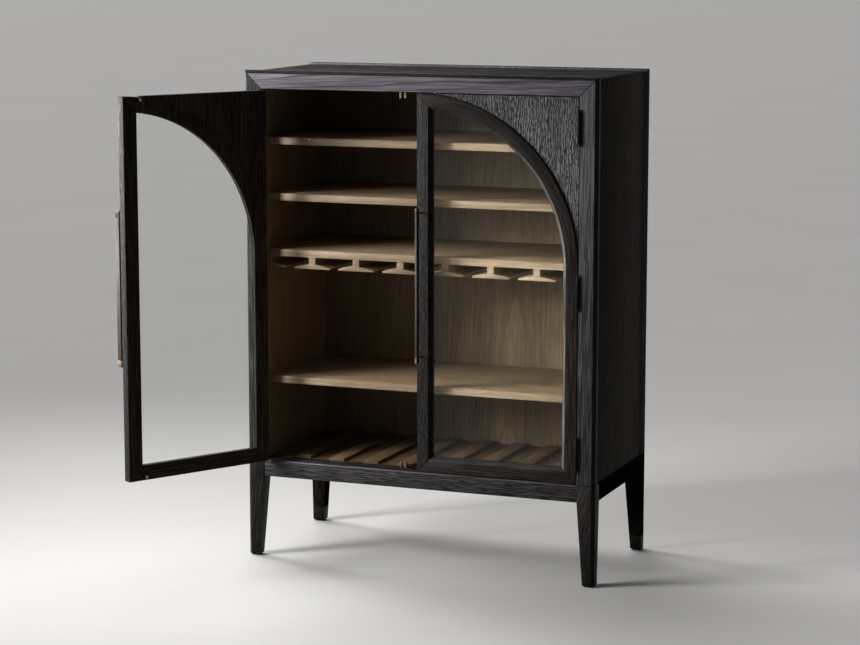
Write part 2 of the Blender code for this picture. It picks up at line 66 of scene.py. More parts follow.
# Turns that bring each body from rest to the closed cabinet, where its pieces are worked on
toClosed = {"cabinet": Matrix.Identity(4)}
for joint in frame["joints"]:
    hingePoint = Matrix.Translation(joint["pos_m"])
    closing = Matrix.Rotation(math.radians(joint["range_deg"][0]), 4, Vector(joint["axis"]))
    toClosed[joint["child"]] = hingePoint @ closing @ hingePoint.inverted()


# Nodes
def addNode(tree, kind, feeds=None, **settings):
    node = tree.nodes.new("ShaderNode" + kind)
    for key, value in settings.items():
        setattr(node, key, value)
    for socket, feed in (feeds or {}).items():
        if isinstance(feed, bpy.types.NodeSocket):
            tree.links.new(feed, node.inputs[socket])
        else:
            node.inputs[socket].default_value = feed
    return node


def calculate(tree, operation, first, second=0.0, third=0.0):
    return addNode(tree, "Math", {0: first, 1: second, 2: third}, operation=operation).outputs[0]


def soften(tree, value, low, high, start=0.0, end=1.0):
    feeds = {"Value": value, "From Min": low, "From Max": high, "To Min": start, "To Max": end}
    return addNode(tree, "MapRange", feeds, interpolation_type="SMOOTHSTEP").outputs["Result"]


def mixColour(tree, share, first, second, blending="MIX"):
    colours = [c if isinstance(c, bpy.types.NodeSocket) else (*c, 1.0) for c in (first, second)]
    feeds = {0: share, 6: colours[0], 7: colours[1]}
    return addNode(tree, "Mix", feeds, data_type="RGBA", blend_type=blending).outputs[2]


def newMaterial(name):
    material = bpy.data.materials.new(name)
    material.use_nodes = True
    tree = material.node_tree
    return material, tree, tree.nodes["Principled BSDF"]


# Grain of oak, read from a point's place in the log that the board was sawn from: along, and two ways across
oakFigure = {
    "bend": (1.7, 9.0),  # waves per metre in which the rings wander, along and across
    "wander": 0.022,  # metres that the rings wander
    "step": 0.37,  # changes of width per ring
    "uneven": 1.3,  # how much ring widths differ
    "fibres": (5.0, 520.0),  # per metre, along and across
    "poreWidth": 1250.0,  # per metre across
    "poreEdge": (0.55, 0.68),  # noise values at which a pore opens
    "latePores": 0.35,  # share of the pores that lie between the ring lines
    "teeth": 150.0,  # per metre across, the marks that the wire brush leaves
    "drift": (16.0, 50.0),
    "sway": 3.0,  # how many teeth the marks drift
    "tone": (1.3, 13.0),
    "heights": {"pore": -0.6, "fibre": 0.45, "ring": -0.3},  # beside the brush marks' height of 1
}
noiseSpread = (0.3, 0.7)  # most values of a noise texture lie in here


def makeOakGrain(name, figure):
    tree = bpy.data.node_groups.new(name, "ShaderNodeTree")
    tree.interface.new_socket("Log", in_out="INPUT", socket_type="NodeSocketVector")
    for socket in ("Rings", "Line", "Dashes", "Brushes", "Comb"):
        tree.interface.new_socket(socket, in_out="INPUT", socket_type="NodeSocketFloat")
    for socket in ("Ring", "Fibre", "Pore", "Brush", "Tone", "Height"):
        tree.interface.new_socket(socket, in_out="OUTPUT", socket_type="NodeSocketFloat")
    start = tree.nodes.new("NodeGroupInput")
    end = tree.nodes.new("NodeGroupOutput")
    log = start.outputs["Log"]

    def streaks(along, across, detail):
        scale = addNode(tree, "CombineXYZ", {"X": along, "Y": across, "Z": across}).outputs[0]
        place = addNode(tree, "VectorMath", {0: log, 1: scale}, operation="MULTIPLY").outputs[0]
        feeds = {"Vector": place, "Scale": 1.0, "Detail": detail, "Roughness": 0.55}
        return addNode(tree, "TexNoise", feeds).outputs["Fac"]

    sideways = (0.0, 1.0, 1.0)
    flat = addNode(tree, "VectorMath", {0: log, 1: sideways}, operation="MULTIPLY").outputs[0]
    radius = addNode(tree, "VectorMath", {0: flat}, operation="LENGTH").outputs["Value"]
    wander = streaks(*figure["bend"], 2.0)
    radius = calculate(tree, "MULTIPLY_ADD", wander, figure["wander"], radius)
    phase = calculate(tree, "MULTIPLY", radius, start.outputs["Rings"])
    feeds = {"W": phase, "Scale": figure["step"], "Detail": 2.0}
    step = addNode(tree, "TexNoise", feeds, noise_dimensions="1D")
    phase = calculate(tree, "MULTIPLY_ADD", step.outputs["Fac"], figure["uneven"], phase)
    saw = calculate(tree, "FRACT", phase)
    ring = soften(tree, saw, 0.0, start.outputs["Line"], 1.0, 0.0)
    fibre = streaks(*figure["fibres"], 3.0)
    brush = streaks(start.outputs["Dashes"], start.outputs["Brushes"], 1.0)
    across = addNode(tree, "VectorMath", {0: log, 1: sideways}, operation="DOT_PRODUCT").outputs["Value"]
    sway = calculate(tree, "MULTIPLY", streaks(*figure["drift"], 1.0), figure["sway"])
    teeth = calculate(tree, "MULTIPLY_ADD", across, figure["teeth"], sway)
    comb = calculate(tree, "SINE", calculate(tree, "MULTIPLY", teeth, 2 * math.pi))
    brush = calculate(tree, "MULTIPLY_ADD", comb, start.outputs["Comb"], brush)
    dash = streaks(start.outputs["Dashes"], figure["poreWidth"], 1.0)
    openness = calculate(tree, "MULTIPLY_ADD", ring, 1.0 - figure["latePores"], figure["latePores"])
    pore = calculate(tree, "MULTIPLY", soften(tree, dash, *figure["poreEdge"]), openness)
    tone = streaks(*figure["tone"], 3.0)
    height = calculate(tree, "MULTIPLY_ADD", fibre, figure["heights"]["fibre"], brush)
    height = calculate(tree, "MULTIPLY_ADD", pore, figure["heights"]["pore"], height)
    height = calculate(tree, "MULTIPLY_ADD", ring, figure["heights"]["ring"], height)
    results = {"Ring": ring, "Fibre": fibre, "Pore": pore, "Brush": brush, "Tone": tone, "Height": height}
    for socket, value in results.items():
        tree.links.new(value, end.inputs[socket])
    return tree


oakGrain = makeOakGrain("oakGrain", oakFigure)


def makeOak(name, look):
    material, tree, surface = newMaterial(name)
    log = addNode(tree, "Attribute", attribute_name="log").outputs["Vector"]
    worn = addNode(tree, "Attribute", attribute_name="worn").outputs["Fac"]
    grain = addNode(tree, "Group")
    grain.node_tree = oakGrain
    tree.links.new(log, grain.inputs["Log"])
    for socket in ("Rings", "Line", "Dashes", "Brushes", "Comb"):
        grain.inputs[socket].default_value = look[socket.lower()]
    out = grain.outputs
    colour = mixColour(tree, soften(tree, out["Brush"], *look["brushRange"]), look["valley"], look["ridge"])
    ringShare = calculate(tree, "MULTIPLY", out["Ring"], look["ringShare"])
    colour = mixColour(tree, ringShare, colour, look["ringColour"])
    tone = soften(tree, out["Tone"], *noiseSpread, *look["toneRange"])
    toned = addNode(tree, "CombineColor", {0: tone, 1: tone, 2: tone}).outputs[0]
    colour = mixColour(tree, 1.0, colour, toned, "MULTIPLY")
    poreShare = calculate(tree, "MULTIPLY", out["Pore"], look["poreShare"])
    colour = mixColour(tree, poreShare, colour, look["pore"])
    rubbed = calculate(tree, "MULTIPLY", worn, soften(tree, out["Fibre"], *noiseSpread, *look["wear"]))
    colour = mixColour(tree, rubbed, colour, look["rubbed"])
    if "archShadowWidth" in look:  # painted shadow: the spandrel darkens beside the proud arch
        place = addNode(tree, "Attribute", attribute_name="fromArch").outputs["Vector"]
        away = addNode(tree, "VectorMath", {0: place}, operation="LENGTH").outputs["Value"]
        colour = mixColour(tree, soften(tree, away, *look["archShadowWidth"], 1.0, 0.0), colour, look["valley"])
    if "shadeUpArch" in look:  # painted shade: darker up the arch
        place = addNode(tree, "Attribute", attribute_name="fromArch").outputs["Vector"]
        up = addNode(tree, "SeparateXYZ", {0: place}).outputs["Z"]
        colour = mixColour(tree, soften(tree, up, *look["shadeUpArch"]), colour, look["shadeColour"])
    tree.links.new(colour, surface.inputs["Base Color"])
    roughness = soften(tree, out["Fibre"], *noiseSpread, *look["roughness"])
    tree.links.new(roughness, surface.inputs["Roughness"])
    feeds = {"Strength": look["relief"], "Distance": look["depth"], "Height": out["Height"]}
    bump = addNode(tree, "Bump", feeds)
    tree.links.new(bump.outputs["Normal"], surface.inputs["Normal"])
    surface.inputs["Specular IOR Level"].default_value = look["gloss"]
    return material


# Stained oak of the frames: grey violet, brushed along the grain
frameOakLook = {
    "rings": 170.0, "line": 0.40, "dashes": 9.0, "brushes": 300.0, "comb": 0.02, "brushRange": (0.42, 0.60),
    "valley": (0.0032, 0.0028, 0.0030), "ridge": (0.050, 0.047, 0.051),
    "ringColour": (0.0025, 0.0022, 0.0022), "ringShare": 0.7, "toneRange": (0.7, 1.25),
    "pore": (0.13, 0.125, 0.135), "poreShare": 0.35, "rubbed": (0.050, 0.046, 0.047), "wear": (0.1, 0.35),
    "roughness": (0.45, 0.62), "relief": 0.5, "depth": 0.0012, "gloss": 0.2,
}
# Top rail: paler and smoother, with a bold figure; its paler colour is partly painted sheen, and the same oak
# paints highlight lines on the base rail's top edge and the rear frame's front
railToneAndSheenOakLook = {
    **frameOakLook, "rings": 100.0, "line": 0.20, "dashes": 9.0, "brushes": 300.0, "comb": 0.0,
    "brushRange": (0.25, 0.75), "valley": (0.088, 0.079, 0.093), "ridge": (0.185, 0.168, 0.197),
    "ringColour": (0.010, 0.009, 0.010), "ringShare": 0.85, "poreShare": 0.1, "relief": 0.2,
}
# Top: the same stain, quite matt
topOakLook = {
    **frameOakLook, "rings": 150.0, "dashes": 8.0, "brushes": 240.0, "brushRange": (0.36, 0.62),
    "valley": (0.036, 0.033, 0.0345), "ridge": (0.120, 0.110, 0.116), "pore": (0.012, 0.011, 0.011),
    "poreShare": 0.6, "gloss": 0.0,
}
# Base rail: fine streaks of paler grain
baseOakLook = {
    **frameOakLook, "dashes": 15.0, "brushes": 480.0, "comb": 0.05, "brushRange": (0.46, 0.60),
    "valley": (0.0040, 0.0034, 0.0033), "ridge": (0.062, 0.056, 0.057), "ringShare": 0.3,
}
# Chamfers and outer sides of the frame, painted dark as shade; and the seams where boards meet, darker still
edgeShadeOakLook = {
    **frameOakLook, "dashes": 40.0, "valley": (0.006, 0.0052, 0.005), "ridge": (0.022, 0.0195, 0.019),
    "rubbed": (0.016, 0.014, 0.0135), "pore": (0.04, 0.036, 0.035), "gloss": 0.08,
}
seamOakLook = {
    **frameOakLook, "valley": (0.002, 0.0018, 0.0017), "ridge": (0.005, 0.0045, 0.0043),
    "pore": (0.004, 0.0036, 0.0034), "rubbed": (0.003, 0.0027, 0.0025), "gloss": 0.0,
}
# Spandrels and meeting stiles: the same stain, brushed coarsely; the spandrels carry a painted shadow beside
# the arch
spandrelOakLook = {
    **frameOakLook, "dashes": 75.0, "brushes": 420.0, "comb": 0.12, "brushRange": (0.45, 0.62), "line": 0.5,
    "valley": (0.0035, 0.0033, 0.0035), "ridge": (0.150, 0.145, 0.157), "ringShare": 0.15,
    "relief": 0.9, "depth": 0.0018, "archShadowWidth": (1.001, 1.010),
}
stileOakLook = {
    **frameOakLook, "dashes": 60.0, "brushes": 400.0, "comb": 0.10, "brushRange": (0.44, 0.62), "line": 0.5,
    "valley": (0.0020, 0.0015, 0.0013), "ridge": (0.036, 0.0315, 0.0295), "ringShare": 0.15,
    "relief": 0.9, "depth": 0.0018,
}
# Legs: darker than the frame, with the same brushing
legOakLook = {
    **frameOakLook, "valley": (0.0030, 0.0025, 0.0021), "ridge": (0.019, 0.0162, 0.0142),
    "pore": (0.07, 0.064, 0.060), "rubbed": (0.026, 0.022, 0.020), "gloss": 0.1,
}
# Door members: browner and smoother
memberOakLook = {
    **frameOakLook, "rings": 190.0, "dashes": 10.0, "brushes": 300.0, "brushRange": (0.38, 0.64),
    "valley": (0.0052, 0.0037, 0.0030), "ridge": (0.028, 0.0210, 0.0177),
    "ringColour": (0.002, 0.0016, 0.0014), "ringShare": 0.6, "pore": (0.05, 0.043, 0.040), "poreShare": 0.3,
    "rubbed": (0.024, 0.020, 0.018), "roughness": (0.40, 0.52), "relief": 0.3, "depth": 0.0009, "gloss": 0.10,
}
# Bevels round the glass, polished by wiping; the arch's bevel is painted paler as a highlight, and painted
# darker towards its top as shade
bevelOakLook = {
    **memberOakLook, "valley": (0.011, 0.0100, 0.0095), "ridge": (0.030, 0.0278, 0.0268),
    "rubbed": (0.05, 0.046, 0.044), "roughness": (0.24, 0.34), "gloss": 0.40,
}
archBevelLightShadeLook = {
    **bevelOakLook, "valley": (0.058, 0.0555, 0.054), "ridge": (0.155, 0.150, 0.147),
    "rubbed": (0.17, 0.164, 0.161), "roughness": (0.45, 0.55), "gloss": 0.08,
    "shadeUpArch": (0.35, 0.80), "shadeColour": (0.022, 0.020, 0.019),
}
# Panels: dark and quite matt; the base's sides and back are painted darker as shade, the backs of the doors
# are browner
panelOakLook = {
    **memberOakLook, "rings": 130.0, "brushes": 430.0, "brushRange": (0.34, 0.68),
    "valley": (0.014, 0.0117, 0.0096), "ridge": (0.047, 0.0395, 0.0328),
    "roughness": (0.60, 0.75), "gloss": 0.05,
}
baseShadeOakLook = {
    **panelOakLook, "valley": (0.0050, 0.0042, 0.0035), "ridge": (0.026, 0.022, 0.0185), "gloss": 0.0,
}
doorBackLook = {
    **panelOakLook, "brushes": 300.0, "brushRange": (0.38, 0.64),
    "valley": (0.027, 0.020, 0.0145), "ridge": (0.080, 0.060, 0.044),
}
# Natural oak of the sides inside, and of the shelves, whose sawn lips are a little darker
paleOakLook = {
    "rings": 120.0, "line": 0.45, "dashes": 11.0, "brushes": 210.0, "comb": 0.0, "brushRange": (0.30, 0.72),
    "valley": (0.240, 0.168, 0.096), "ridge": (0.320, 0.236, 0.144),
    "ringColour": (0.175, 0.114, 0.060), "ringShare": 0.5, "toneRange": (0.86, 1.10),
    "pore": (0.11, 0.068, 0.035), "poreShare": 0.55, "rubbed": (0.35, 0.265, 0.17), "wear": (0.1, 0.35),
    "roughness": (0.45, 0.60), "relief": 0.2, "depth": 0.0006, "gloss": 0.25,
}
shelfOakLook = {
    **paleOakLook, "valley": (0.275, 0.193, 0.115), "ridge": (0.360, 0.262, 0.162),
    "ringColour": (0.205, 0.134, 0.073), "rubbed": (0.42, 0.32, 0.21),
}
lipOakLook = {
    **paleOakLook, "valley": (0.245, 0.172, 0.104), "ridge": (0.322, 0.236, 0.151),
    "ringColour": (0.205, 0.136, 0.077), "rubbed": (0.39, 0.295, 0.195),
}
# Darker oak of the back; the ceiling and the bottom are painted darker still as shade, and the wine board is
# painted dark as shade, with its ribs paler on top as painted light
backOakLook = {
    **paleOakLook, "valley": (0.190, 0.133, 0.076), "ridge": (0.253, 0.187, 0.114),
    "ringColour": (0.138, 0.090, 0.047), "pore": (0.087, 0.054, 0.028), "rubbed": (0.28, 0.21, 0.135),
}
innerShadeOakLook = {
    **paleOakLook, "valley": (0.076, 0.050, 0.027), "ridge": (0.110, 0.075, 0.042),
    "ringColour": (0.052, 0.032, 0.016), "pore": (0.036, 0.021, 0.011), "rubbed": (0.13, 0.092, 0.055),
    "gloss": 0.1,
}
wineShadeOakLook = {
    **innerShadeOakLook, "valley": (0.105, 0.068, 0.036), "ridge": (0.150, 0.101, 0.056),
    "ringColour": (0.074, 0.046, 0.023),
}
ribLitOakLook = {
    **wineShadeOakLook, "valley": (0.150, 0.099, 0.053), "ridge": (0.208, 0.140, 0.078),
    "rubbed": (0.22, 0.156, 0.09),
}
frameOak = makeOak("frameOak", frameOakLook)
railToneAndSheenOak = makeOak("railToneAndSheenOak", railToneAndSheenOakLook)
topOak = makeOak("topOak", topOakLook)
baseOak = makeOak("baseOak", baseOakLook)
spandrelOak = makeOak("spandrelOak", spandrelOakLook)
edgeShadeOak = makeOak("edgeShadeOak", edgeShadeOakLook)
seamOak = makeOak("seamOak", seamOakLook)
stileOak = makeOak("stileOak", stileOakLook)
legOak = makeOak("legOak", legOakLook)
memberOak = makeOak("memberOak", memberOakLook)
bevelOak = makeOak("bevelOak", bevelOakLook)
archBevelLightShadeOak = makeOak("archBevelLightShadeOak", archBevelLightShadeLook)
panelOak = makeOak("panelOak", panelOakLook)
baseShadeOak = makeOak("baseShadeOak", baseShadeOakLook)
doorBackOak = makeOak("doorBackOak", doorBackLook)
paleOak = makeOak("paleOak", paleOakLook)
shelfOak = makeOak("shelfOak", shelfOakLook)
lipOak = makeOak("lipOak", lipOakLook)
backOak = makeOak("backOak", backOakLook)
innerShadeOak = makeOak("innerShadeOak", innerShadeOakLook)
wineShadeOak = makeOak("wineShadeOak", wineShadeOakLook)
ribLitOak = makeOak("ribLitOak", ribLitOakLook)
insideOaks = (paleOak, shelfOak, backOak, innerShadeOak, wineShadeOak)


# Metal with a mottled patina that is rubbed bright along its edges
patina = {"mottle": (0.35, 0.68), "speckle": (0.35, 0.6), "leastWear": 0.35, "depth": 0.0003, "gloss": 0.15}


def makeMetal(name, look):
    material, tree, surface = newMaterial(name)
    place = addNode(tree, "TexCoord").outputs["Object"]
    worn = addNode(tree, "Attribute", attribute_name="worn").outputs["Fac"]
    feeds = {"Vector": place, "Scale": look["patches"], "Detail": 5.0}
    patch = addNode(tree, "TexNoise", feeds).outputs["Fac"]
    feeds = {"Vector": place, "Scale": look["grains"], "Detail": 2.0}
    fine = addNode(tree, "TexNoise", feeds).outputs["Fac"]
    colour = mixColour(tree, soften(tree, patch, *patina["mottle"]), look["dark"], look["bright"])
    wear = soften(tree, fine, *patina["speckle"], patina["leastWear"], look["wear"])
    colour = mixColour(tree, calculate(tree, "MULTIPLY", worn, wear), colour, look["rubbed"])
    tree.links.new(colour, surface.inputs["Base Color"])
    tree.links.new(soften(tree, patch, *noiseSpread, *look["roughness"]), surface.inputs["Roughness"])
    bump = addNode(tree, "Bump", {"Strength": look["relief"], "Distance": patina["depth"], "Height": fine})
    tree.links.new(bump.outputs["Normal"], surface.inputs["Normal"])
    surface.inputs["Metallic"].default_value = look["metallic"]
    surface.inputs["Specular IOR Level"].default_value = patina["gloss"]
    return material


handleBronze = makeMetal("handleBronze", {
    "dark": (0.090, 0.072, 0.063), "bright": (0.124, 0.102, 0.089), "rubbed": (0.175, 0.143, 0.124),
    "wear": 0.6, "patches": 60.0, "grains": 900.0, "roughness": (0.54, 0.64),
    "relief": 0.12, "metallic": 0.2})
# a dark bronze, used as painted shade on the handles
handleShadeBronze = makeMetal("handleShadeBronze", {
    "dark": (0.022, 0.014, 0.010), "bright": (0.042, 0.028, 0.020), "rubbed": (0.10, 0.072, 0.055),
    "wear": 0.4, "patches": 60.0, "grains": 900.0, "roughness": (0.44, 0.56),
    "relief": 0.12, "metallic": 0.4})
sleeveCopper = makeMetal("sleeveCopper", {
    "dark": (0.13, 0.088, 0.064), "bright": (0.19, 0.135, 0.102), "rubbed": (0.28, 0.208, 0.165),
    "wear": 0.6, "patches": 60.0, "grains": 900.0, "roughness": (0.44, 0.54),
    "relief": 0.10, "metallic": 0.4})
hingeBronze = makeMetal("hingeBronze", {
    "dark": (0.005, 0.0044, 0.004), "bright": (0.013, 0.011, 0.0095), "rubbed": (0.045, 0.036, 0.029),
    "wear": 0.4, "patches": 90.0, "grains": 1200.0, "roughness": (0.40, 0.55),
    "relief": 0.15, "metallic": 0.5})
catchCopper = makeMetal("catchCopper", {
    "dark": (0.32, 0.215, 0.165), "bright": (0.46, 0.33, 0.265), "rubbed": (0.62, 0.48, 0.40),
    "wear": 0.7, "patches": 120.0, "grains": 1500.0, "roughness": (0.26, 0.40),
    "relief": 0.08, "metallic": 0.8})
catchShadeBronze = makeMetal("catchShadeBronze", {
    "dark": (0.035, 0.020, 0.015), "bright": (0.11, 0.070, 0.054), "rubbed": (0.42, 0.31, 0.26),
    "wear": 0.6, "patches": 240.0, "grains": 1500.0, "roughness": (0.26, 0.40),
    "relief": 0.08, "metallic": 0.7})
capBronze = makeMetal("capBronze", {
    "dark": (0.0024, 0.0018, 0.0014), "bright": (0.0050, 0.0038, 0.0030), "rubbed": (0.018, 0.0145, 0.012),
    "wear": 0.5, "patches": 45.0, "grains": 700.0, "roughness": (0.42, 0.55),
    "relief": 0.1, "metallic": 0.3})


# Clear glass with faint wiping marks
def makeGlass(name, look):
    material, tree, surface = newMaterial(name)
    place = addNode(tree, "TexCoord").outputs["Object"]
    wiped = addNode(tree, "Mapping", {"Vector": place, "Scale": look["marks"]}).outputs[0]
    marks = addNode(tree, "TexNoise", {"Vector": wiped, "Scale": 1.0, "Detail": 4.0}).outputs["Fac"]
    tree.links.new(soften(tree, marks, *look["markRange"], *look["roughness"]), surface.inputs["Roughness"])
    surface.inputs["Base Color"].default_value = (*look["colour"], 1.0)
    surface.inputs["Transmission Weight"].default_value = 1.0
    surface.inputs["IOR"].default_value = look["ior"]
    return material


clearGlass = makeGlass("clearGlass", {
    "colour": (0.965, 0.985, 0.975), "ior": 1.24, "roughness": (0.0, 0.025),
    "marks": (14.0, 14.0, 5.0), "markRange": (0.45, 0.75)})
print("finishes:", len(bpy.data.materials), "materials")


# Working on pieces: copies of CAD nodes are merged and rounded, and faces are picked by their normals
smoothAngle = math.radians(30)
flatAngle = math.radians(0.4)
mergeGap = 0.00002
straight = 0.9  # a normal this far along an axis counts as facing that way
chamferTilt = (-0.88, -0.05)  # how far chamfers face the front
seamTilt = (-0.97, -0.05)
seamLean = 0.15  # how far the eased end of a board leans along it
logSpacing = 3.7  # metres between the pieces' places in the log


def pickOnly(piece):
    bpy.ops.object.select_all(action="DESELECT")
    piece.select_set(True)
    bpy.context.view_layer.objects.active = piece


def editWhole(piece):
    pickOnly(piece)
    bpy.ops.object.mode_set(mode="EDIT")
    bpy.ops.mesh.select_all(action="SELECT")


def leaveEdit():
    bpy.ops.object.mode_set(mode="OBJECT")


def roundEdges(piece, width, segments=2, sharper=25.0):
    # The bevel marks its own faces with a second slot, and they become the worn edges
    finish = piece.data.materials[0]
    piece.data.materials.append(finish)
    bevel = piece.modifiers.new("eased edges", "BEVEL")
    bevel.width = width
    bevel.segments = segments
    bevel.limit_method = "ANGLE"
    bevel.angle_limit = math.radians(sharper)
    bevel.material = 1
    pickOnly(piece)
    bpy.ops.object.modifier_apply(modifier=bevel.name)
    worn = piece.data.attributes.new("worn", "FLOAT", "FACE")
    worn.data.foreach_set("value", [float(face.material_index) for face in piece.data.polygons])
    piece.data.polygons.foreach_set("material_index", [0] * len(piece.data.polygons))
    piece.data.materials.pop(index=1)
    bpy.ops.object.shade_smooth_by_angle(angle=smoothAngle)


def paintFaces(piece, material, chosen):
    piece.data.materials.append(material)
    for face in piece.data.polygons:
        if chosen(face):
            face.material_index = len(piece.data.materials) - 1


def isChamfer(face):
    return chamferTilt[0] < face.normal.y < chamferTilt[1]


def isSeam(face, along):
    # The eased end of a board, where it meets the next one
    lean = abs(face.normal["xyz".index(along)])
    return seamTilt[0] < face.normal.y < seamTilt[1] and lean > seamLean


def closedCopy(node, name, material):
    # A merged copy of a CAD node, in the closed cabinet
    piece = bpy.data.objects.new(name, nodes[node].data.copy())
    bpy.context.collection.objects.link(piece)
    piece.data.materials.clear()
    piece.data.materials.append(material)
    piece.data.transform(toClosed[nodes[node]["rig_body"]])
    editWhole(piece)
    bpy.ops.mesh.customdata_custom_splitnormals_clear()
    bpy.ops.mesh.remove_doubles(threshold=mergeGap)
    bpy.ops.mesh.dissolve_limited(angle_limit=flatAngle)
    leaveEdit()
    return piece


def hang(piece, body, slot, *replaced):
    # Back to where the body stands at rest
    piece.data.transform(toClosed[body].inverted())
    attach(piece, body)
    if replaced:
        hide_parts(*replaced)


def corners(points):
    low = Vector(min(point[i] for point in points) for i in range(3))
    high = Vector(max(point[i] for point in points) for i in range(3))
    return low, high


def sawFromLog(piece, along, pith, lean=(0.0, 0.0), number=0, straighten=None, crook=(0.0, 0.0)):
    # Each point keeps its place in the log: the pith passes the board's middle, and may lean and be crooked
    points = [vertex.co.copy() for vertex in piece.data.vertices]
    if straighten:
        points = [straighten(point) for point in points]
    low, high = corners(points)
    middle = (low + high) / 2
    run = "xyz".index(along)
    sides = [i for i in range(3) if i != run]
    values = []
    for point in points:
        offset = point - middle
        values.append(offset[run] + logSpacing * number)
        for i, side in enumerate(sides):
            values.append(offset[side] - pith[i] - lean[i] * offset[run] - crook[i] * offset[run] ** 2)
    log = piece.data.attributes.new("log", "FLOAT_VECTOR", "POINT")
    log.data.foreach_set("vector", values)


# Boards of the case: the way the grain runs, where the pith passes the board's middle, and how it leans
caseBoards = {
    "front_top_rail": ("x", (0.042, -0.010), (0.012, 0.020), railToneAndSheenOak),
    "left_front_stile": ("z", (0.030, 0.110), (0.010, 0.020), frameOak),
    "right_front_stile": ("z", (-0.040, 0.120), (0.015, 0.010), frameOak),
    "front_base_rail": ("x", (0.060, 0.020), (0.030, 0.012), baseOak),
    # the base's back and sides, and the rear legs, take the oak painted dark as shade
    "rear_base_rail": ("x", (-0.050, 0.020), (0.030, 0.012), baseShadeOak),
    "left_base_rail": ("y", (0.060, 0.010), (0.040, 0.020), baseShadeOak),
    "right_base_rail": ("y", (-0.060, 0.012), (0.040, 0.020), baseShadeOak),
    "front_left_leg": ("z", (0.040, 0.050), (0.060, 0.030), legOak),
    "front_right_leg": ("z", (-0.020, 0.035), (0.330, 0.060), legOak),
    "rear_left_leg": ("z", (0.030, -0.050), (0.050, 0.040), baseShadeOak),
    "rear_right_leg": ("z", (-0.050, -0.040), (0.040, 0.060), baseShadeOak),
    "rear_frame": ("z", (0.300, -0.120), (0.010, 0.010), panelOak),
    "top_panel": ("x", (0.090, -0.130), (0.020, 0.030), topOak),
    "left_side_panel": ("z", (0.120, 0.070), (0.020, 0.030), panelOak),
    "right_side_panel": ("z", (-0.110, 0.060), (0.020, 0.030), panelOak),
    "left_side_lining": ("z", (-0.110, 0.040), (0.030, 0.020), paleOak),
    "right_side_lining": ("z", (0.120, -0.050), (0.030, 0.020), paleOak),
    # the ceiling, and the bottom further down, take the oak painted dark as shade
    "ceiling_panel": ("x", (0.070, 0.110), (0.020, 0.020), innerShadeOak),
    "back_panel": ("z", (0.130, 0.180), (0.020, 0.020), backOak),
    "upper_shelf": ("x", (0.060, -0.140), (0.030, 0.020), shelfOak),
    "second_shelf": ("x", (-0.080, -0.120), (0.020, 0.030), shelfOak),
    "stemware_shelf": ("x", (0.100, -0.150), (0.020, 0.020), shelfOak),
    "lower_shelf": ("x", (-0.060, -0.110), (0.030, 0.030), shelfOak),
    "wine_rack": ("y", (0.120, -0.090), (0.030, 0.020), wineShadeOak),
    "bottom_panel": ("x", (0.080, -0.130), (0.020, 0.020), innerShadeOak),
}
crooked = {"front_top_rail": (0.06, 0.24)}
baseEdge = {"width": 0.003, "segments": 4, "slack": 0.0001, "tilt": 0.15}
wineBoard = {"ribSlack": 0.001, "edgeTilt": -0.3}
outwardTilt = 0.05
outward = {"front_top_rail": (0, 0, 1), "left_front_stile": (-1, 0, 0), "right_front_stile": (1, 0, 0)}
boardRounding = 0.0008


def easeTopEdge(piece, edgeShape):
    # Rounds the long edge at the top of the front
    low, high = corners([vertex.co for vertex in piece.data.vertices])
    slack = edgeShape["slack"]
    editWhole(piece)
    bpy.ops.mesh.select_mode(type="EDGE")
    bpy.ops.mesh.select_all(action="DESELECT")
    leaveEdit()
    for edge in piece.data.edges:
        ends = [piece.data.vertices[i].co for i in edge.vertices]
        edge.select = all(abs(end.y - low.y) < slack and abs(end.z - high.z) < slack for end in ends)
    bpy.ops.object.mode_set(mode="EDIT")
    bpy.ops.mesh.bevel(offset=edgeShape["width"], segments=edgeShape["segments"], affect="EDGES")
    leaveEdit()


for number, (node, (along, pith, lean, material)) in enumerate(caseBoards.items()):
    board = closedCopy(node, node + "_oak", material)
    if node == "wine_rack":
        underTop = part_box(node)[1].z - wineBoard["ribSlack"]
        levels = [face.center.z for face in board.data.polygons if face.normal.z > straight]
        ribFoot = max(level for level in levels if level < underTop)
        editWhole(board)
        bpy.ops.mesh.bisect(plane_co=(0.0, 0.0, ribFoot), plane_no=(0.0, 0.0, 1.0))
        leaveEdit()
    if node == "front_base_rail":
        easeTopEdge(board, baseEdge)
    roundEdges(board, boardRounding)
    sawFromLog(board, along, pith, lean, number, crook=crooked.get(node, (0.0, 0.0)))
    # painted shade: the outer sides and chamfers of the top rail and stiles go dark
    if node in outward:
        paintFaces(board, edgeShadeOak, lambda face: face.normal.dot(Vector(outward[node])) > outwardTilt)
    if material in (frameOak, railToneAndSheenOak, baseOak, legOak):
        paintFaces(board, seamOak, lambda face: isSeam(face, along))
    if node == "wine_rack":
        # painted light and shade: the rib tops are paler, and the front below them is dark
        paintFaces(board, ribLitOak, lambda face: face.normal.z > straight and face.center.z > underTop)
        edgeTilt = wineBoard["edgeTilt"]
        paintFaces(board, edgeShadeOak, lambda face: face.normal.y < edgeTilt and face.center.z < ribFoot)
    if node == "front_base_rail":
        tilt = baseEdge["tilt"]
        # painted highlight: the rounded top edge takes the paler rail oak
        paintFaces(board, railToneAndSheenOak, lambda face: face.normal.y < -tilt and face.normal.z > tilt)
    if material == shelfOak:
        paintFaces(board, lipOak, lambda face: face.normal.y < -straight)
    if node == "rear_frame":
        # painted highlight: the front of the rear frame takes the paler rail oak
        paintFaces(board, railToneAndSheenOak, lambda face: face.normal.y < -straight)
    hang(board, "cabinet", "pale_oak" if material in insideOaks else "dark_oak", node)
print("case:", len(caseBoards), "boards")

